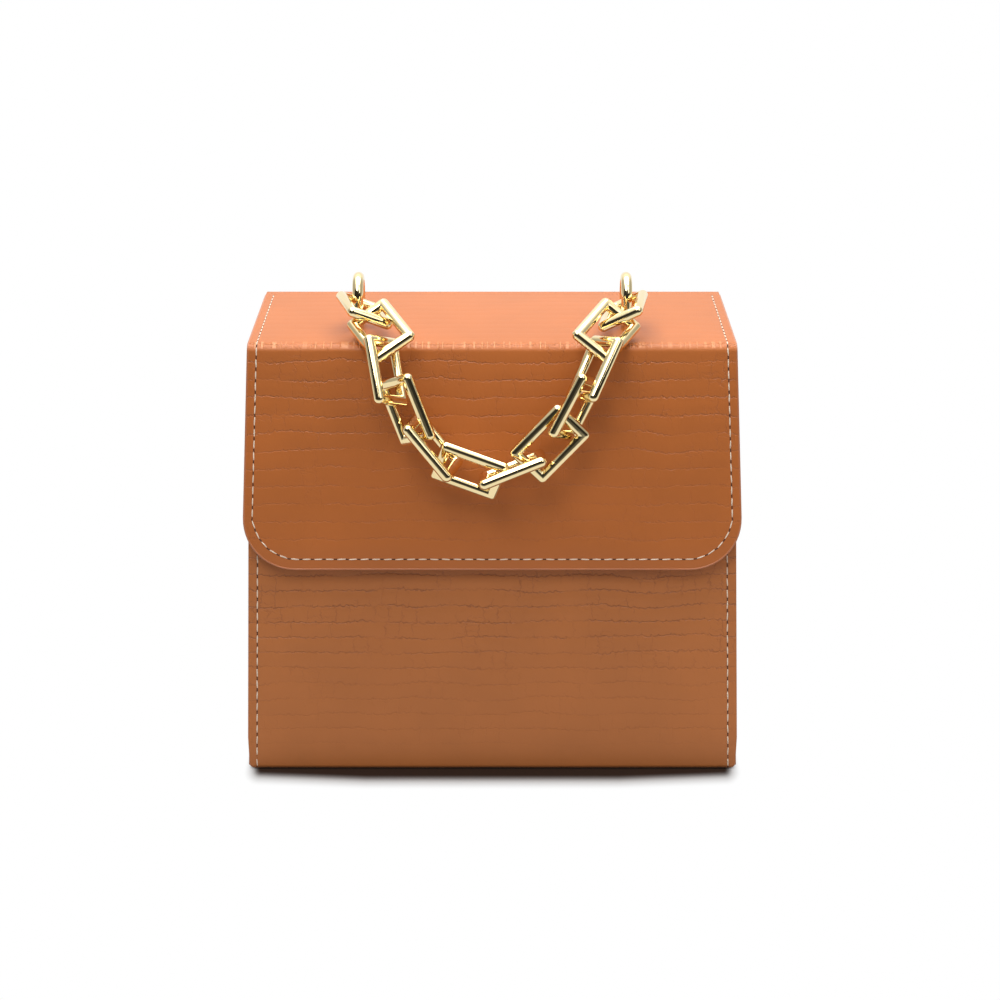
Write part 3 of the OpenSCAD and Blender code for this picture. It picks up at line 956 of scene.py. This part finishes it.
def linkFrame(side, heading, dip, roll, place):
    h, d, r = radians(heading), radians(dip), radians(roll)
    forward = Vector((0, -cos(d), -sin(d)))
    outward = Vector((0, -sin(d), cos(d)))
    along = Vector((-side * sin(h), 0, 0)) + forward * cos(h)
    level = Vector((side * cos(h), 0, 0)) + forward * sin(h)
    beside = level * cos(r) + outward * sin(r)
    return Matrix((along, beside, along.cross(beside))).transposed().to_4x4(), Vector(place)


def growWire(shape, ring, ahead, length):
    grown = bmesh.ops.extrude_edge_only(shape, edges=ring)["geom"]
    moved = {v for v in grown if isinstance(v, bmesh.types.BMVert)}
    bmesh.ops.translate(shape, verts=list(moved), vec=ahead * length)
    return [e for e in grown if isinstance(e, bmesh.types.BMEdge) and all(v in moved for v in e.verts)]


def turnWire(shape, ring, middle, axis, angle, count):
    turned = bmesh.ops.spin(shape, geom=ring, cent=middle, axis=axis, dvec=(0, 0, 0),
                            angle=angle, steps=count)
    return [e for e in turned["geom_last"] if isinstance(e, bmesh.types.BMEdge)]


def makeLink(name, place, turned):
    shape = bmesh.new()
    radius = chain["wire"] / 2
    long, short = chain["long"], chain["short"] / 2
    corners = [Vector((x, y, 0)) for x, y in ((0, -short), (long, -short), (long, short), (0, short))]
    upright = Matrix.Translation(corners[0]) @ Matrix.Rotation(pi / 2, 4, "Y")
    start = bmesh.ops.create_circle(shape, segments=24, radius=radius, matrix=upright)
    ring = list({e for v in start["verts"] for e in v.link_edges})
    for index in range(4):
        ahead = corners[(index + 1) % 4] - corners[index]
        ring = growWire(shape, ring, ahead.normalized(), ahead.length)
        ring = turnWire(shape, ring, corners[(index + 1) % 4], (0, 0, 1), pi / 2, 8)
    # inside each bend the two bars meet in a mitre
    for corner in corners:
        inward = Vector((1 if corner.x < long / 2 else -1, 1 if corner.y < 0 else -1, 0))
        for vert in shape.verts:
            away = vert.co - corner
            if away.length < radius * 1.01 and away.x * inward.x > -1e-7 and away.y * inward.y > -1e-7:
                vert.co = corner + inward * hypot(away.x, away.y) + Vector((0, 0, away.z))
    bmesh.ops.remove_doubles(shape, verts=shape.verts[:], dist=2e-6)
    seams = [e for e in shape.edges if len(e.link_faces) == 2 and e.calc_face_angle_signed(0) < -0.6]
    bmesh.ops.bevel(shape, geom=seams, offset=chain["seam"], offset_type="OFFSET", segments=3,
                    profile=0.5, affect="EDGES", material=-1, clamp_overlap=True)
    bmesh.ops.recalc_face_normals(shape, faces=shape.faces[:])
    bmesh.ops.transform(shape, matrix=Matrix.Translation(place) @ turned, verts=shape.verts[:])
    return keepPiece(shape, name + "_ring", [gold], name, [name], 50)


eye = {
    "rod": 0.0045,
    "arch": 0.0075,          # radius of the arch
    "leg": 0.0129,
    "shank": 0.0015,         # radius below the lid
    "foot": (0.055009, -0.01038, 0.180971),
    "tilt": radians(1.909),  # the lid's slope
    "low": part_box("left_eye")[0].z,
    "shy": 0.0003,           # how far the shank stops above that
}


def makeEye(side, node):
    shape = bmesh.new()
    radius = eye["rod"] / 2
    start = bmesh.ops.create_circle(shape, segments=24, radius=radius, cap_ends=True,
                                    matrix=Matrix.Translation((0, eye["arch"], 0)))
    ring = list({e for v in start["verts"] for e in v.link_edges})
    ring = growWire(shape, ring, Vector((0, 0, 1)), eye["leg"])
    ring = turnWire(shape, ring, (0, 0, eye["leg"]), (1, 0, 0), pi, 24)
    ring = growWire(shape, ring, Vector((0, 0, -1)), eye["leg"])
    bmesh.ops.holes_fill(shape, edges=ring, sides=0)
    feet = [f for f in shape.faces if len(f.verts) > 4]
    bmesh.ops.inset_individual(shape, faces=feet, thickness=radius - eye["shank"], depth=0.0)
    shanks = [f for f in shape.faces if len(f.verts) > 4]
    grown = bmesh.ops.extrude_discrete_faces(shape, faces=shanks)
    ends = {v for f in grown["faces"] for v in f.verts}
    low = (eye["low"] - eye["foot"][2]) / cos(eye["tilt"]) + eye["shy"]
    bmesh.ops.translate(shape, verts=list(ends), vec=(0, 0, low))
    bmesh.ops.recalc_face_normals(shape, faces=shape.faces[:])
    foot = Vector((side * eye["foot"][0], eye["foot"][1], eye["foot"][2]))
    bmesh.ops.transform(shape, matrix=Matrix.Translation(foot) @ Matrix.Rotation(eye["tilt"], 4, "X"),
                        verts=shape.verts[:])
    return keepPiece(shape, node + "_loop", [gold], "lid", [node], 50)


joints = {j["child"]: j["pos_m"] for j in frame["joints"]}
for hand in ("left", "right"):
    layout = chain[hand]
    for index, (heading, dip, roll) in enumerate(zip(layout["heading"], chain["dip"], layout["roll"])):
        name = f"{hand}_link_{index + 1}"
        turned, place = linkFrame(layout["side"], heading, dip, roll, joints[name])
        makeLink(name, place, turned)
    makeEye(layout["side"], f"{hand}_eye")
print("chain hung")


# Room: pale floor with a painted contact shadow, soft light from above and in front, plain bright surroundings

room = {
    "floor": (0.4, 0.4, 0.4, 1.0),
    "contactShadow": (0.03, 0.018, 0.013, 1.0),  # painted contact shadow on the floor close to the bag
    "contactShadowEnd": (0.006, 0.015),
    "shadowEnd": (0.009, 0.022),           # past this the camera sees plain white
    "shadowTaper": 0.09,                   # how much thinner it gets toward the corners
    "taperFrom": 0.05,                     # from this far inside the base's end
    "shadowInside": 0.006,                 # how far inside its ends the shadow stops growing
    "mirrorEnd": (0.004, 0.03),            # metal sees the table dark close to the bag, a painted contact shadow in its reflections
    "tableEnd": (-0.6, -0.3),              # and white as far as this in front of it
    "ambient": 0.35,
    "lens": 89.89,
    "camera": (0.0031565, -1.01992, 0.41062),
    "cameraPitch": radians(16.805),        # downward
    "lampsAim": (0.0, 0.0, 0.1),
    "lamps": {
        "top_softbox": {"place": (0.0, 0.05, 1.25), "width": 1.3, "height": 0.9, "power": 18.2},
        "front_softbox": {"place": (-0.3, -0.95, 1.3), "width": 0.7, "height": 0.7, "power": 8.0},
        "side_softbox": {"place": (0.8, -0.8, 0.9), "width": 0.6, "height": 0.6, "power": 2.0},
    },
}


def paleFloor():
    floor = bmesh.new()
    bmesh.ops.create_grid(floor, x_segments=1, y_segments=1, size=12.0)
    mesh = bpy.data.meshes.new("floor")
    floor.to_mesh(mesh)
    floor.free()
    plane = addObject("floor", mesh)
    material, tree = newMaterial("pale_floor")
    where = addNode(tree, "ShaderNodeSeparateXYZ", {0: objectPlace(tree)}).outputs
    across, depth = where[0], where[1]
    aside = minus(tree, calc(tree, "ABSOLUTE", across), baseHalf - room["shadowInside"])
    ahead = minus(tree, -backY, depth)
    behind = times(tree, minus(tree, depth, backY), 2.0)
    squares = [calc(tree, "POWER", calc(tree, "MAXIMUM", far, 0.0), 2.0)
               for far in (times(tree, aside, 2.2), calc(tree, "MAXIMUM", ahead, behind))]
    # the painted shadow is thinner toward the bag's corners
    taper = minus(tree, calc(tree, "ABSOLUTE", across), baseHalf - room["taperFrom"])
    taper = times(tree, calc(tree, "MAXIMUM", taper, 0.0), room["shadowTaper"])
    distance = plus(tree, calc(tree, "SQRT", plus(tree, *squares)), taper)
    away = fade(tree, distance, *room["shadowEnd"])
    # painted contact shadow: the floor's colour darkens toward the bag
    shade = blendColor(tree, fade(tree, distance, *room["contactShadowEnd"]), room["contactShadow"], room["floor"])
    path = addNode(tree, "ShaderNodeLightPath").outputs
    # metal sees a white table that ends in front of the bag, with a painted contact shadow close to it
    table = times(tree, fade(tree, depth, *room["tableEnd"], 0.1, 1.0),
                  fade(tree, distance, *room["mirrorEnd"], 0.1, 1.0))
    strength = blendValue(tree, path["Is Glossy Ray"], 1.0, table)
    seen = times(tree, path["Is Camera Ray"], away)
    share = calc(tree, "MAXIMUM", seen, path["Is Glossy Ray"])
    matte = addNode(tree, "ShaderNodeBsdfDiffuse", {"Color": shade})
    white = addNode(tree, "ShaderNodeEmission", {"Color": (1.0, 1.0, 1.0, 1.0), "Strength": strength})
    mix = addNode(tree, "ShaderNodeMixShader", {0: share, 1: matte.outputs[0], 2: white.outputs[0]})
    showShader(tree, mix)
    mesh.materials.append(material)


def plainWorld():
    world = bpy.data.worlds.new("studio")
    bpy.context.scene.world = world
    world.use_nodes = True
    tree = world.node_tree
    tree.nodes.clear()
    path = addNode(tree, "ShaderNodeLightPath").outputs
    seen = calc(tree, "MAXIMUM", path["Is Camera Ray"], path["Is Transmission Ray"])
    # metal sees bright walls all round but for the dark side where the camera stands
    facing = addNode(tree, "ShaderNodeTexCoord").outputs["Generated"]
    way = addNode(tree, "ShaderNodeSeparateXYZ", {0: facing}).outputs
    dark = times(tree, fade(tree, way[1], -0.55, -0.15, 1.0, 0.0),
                 fade(tree, way[2], 0.5, 0.72, 1.0, 0.0))
    above = fade(tree, way[2], 0.4, 0.85, 1.1, 1.6)
    aside = fade(tree, calc(tree, "ABSOLUTE", way[0]), 0.45, 0.8, 1.0, 0.45)
    lift = times(tree, times(tree, above, aside), minus(tree, 1.0, times(tree, dark, 0.97)))
    base = blendValue(tree, path["Is Glossy Ray"], room["ambient"], lift)
    strength = blendValue(tree, seen, base, 1.0)
    background = addNode(tree, "ShaderNodeBackground",
                         {"Color": (1.0, 1.0, 1.0, 1.0), "Strength": strength})
    showShader(tree, background, "ShaderNodeOutputWorld")


def softLamp(name, place, width, height, power):
    lamp = bpy.data.lights.new(name, "AREA")
    lamp.shape = "RECTANGLE"
    lamp.size = width
    lamp.size_y = height
    lamp.energy = power
    holder = addObject(name, lamp)
    holder.location = place
    aim = Vector(room["lampsAim"]) - Vector(place)
    holder.rotation_euler = aim.to_track_quat("-Z", "Y").to_euler()


def photoCamera():
    camera = bpy.data.cameras.new("photo_camera")
    camera.lens = room["lens"]
    camera.sensor_width = 36.0
    camera.clip_end = 50.0
    holder = addObject("photo_camera", camera)
    holder.location = room["camera"]
    holder.rotation_euler = (pi / 2 - room["cameraPitch"], 0.0, 0.0)
    bpy.context.scene.camera = holder


paleFloor()
plainWorld()
for lampName, lampSizes in room["lamps"].items():
    softLamp(lampName, **lampSizes)
photoCamera()
bpy.context.scene.view_settings.view_transform = "Standard"
print("room lit")
